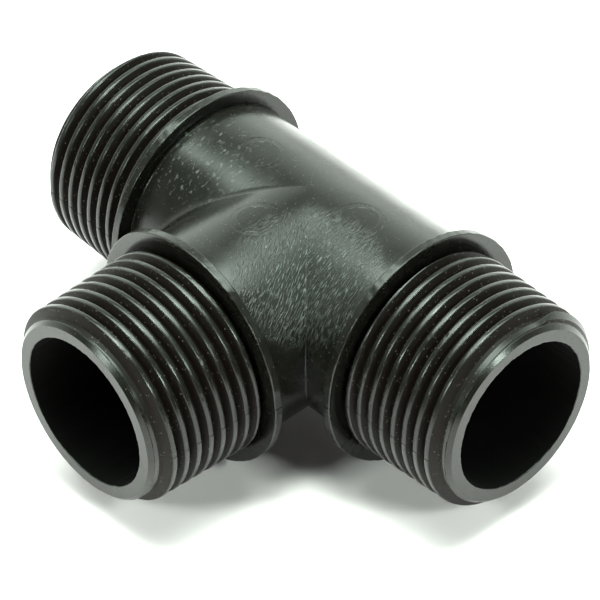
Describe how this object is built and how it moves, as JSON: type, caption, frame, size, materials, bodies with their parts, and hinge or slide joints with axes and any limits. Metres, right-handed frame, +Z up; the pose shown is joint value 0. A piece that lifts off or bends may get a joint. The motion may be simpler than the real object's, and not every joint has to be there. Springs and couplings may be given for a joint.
{
  "type": "pipe tee fitting",
  "caption": "Black moulded equal tee for irrigation pipework, with a tapered male thread and a thin collar on each port and crossing waterways inside.",
  "frame": {"origin": "the point where the run axis and the branch axis cross, inside the barrel", "axes": "+X along the run towards the right port, -Y along the branch, +Z up with the moulding lying flat on its three collars"},
  "size_m": [0.071, 0.0513, 0.0306],
  "materials": {
    "moulded_plastic": "satin black polypropylene, as moulded, lightly scuffed"
  },
  "bodies": {
    "root": {"tee_barrel": "moulded_plastic", "run_right_collar": "moulded_plastic", "run_right_spigot": "moulded_plastic", "run_left_collar": "moulded_plastic", "run_left_spigot": "moulded_plastic", "branch_collar": "moulded_plastic", "branch_spigot": "moulded_plastic"}
  },
  "joints": []
}
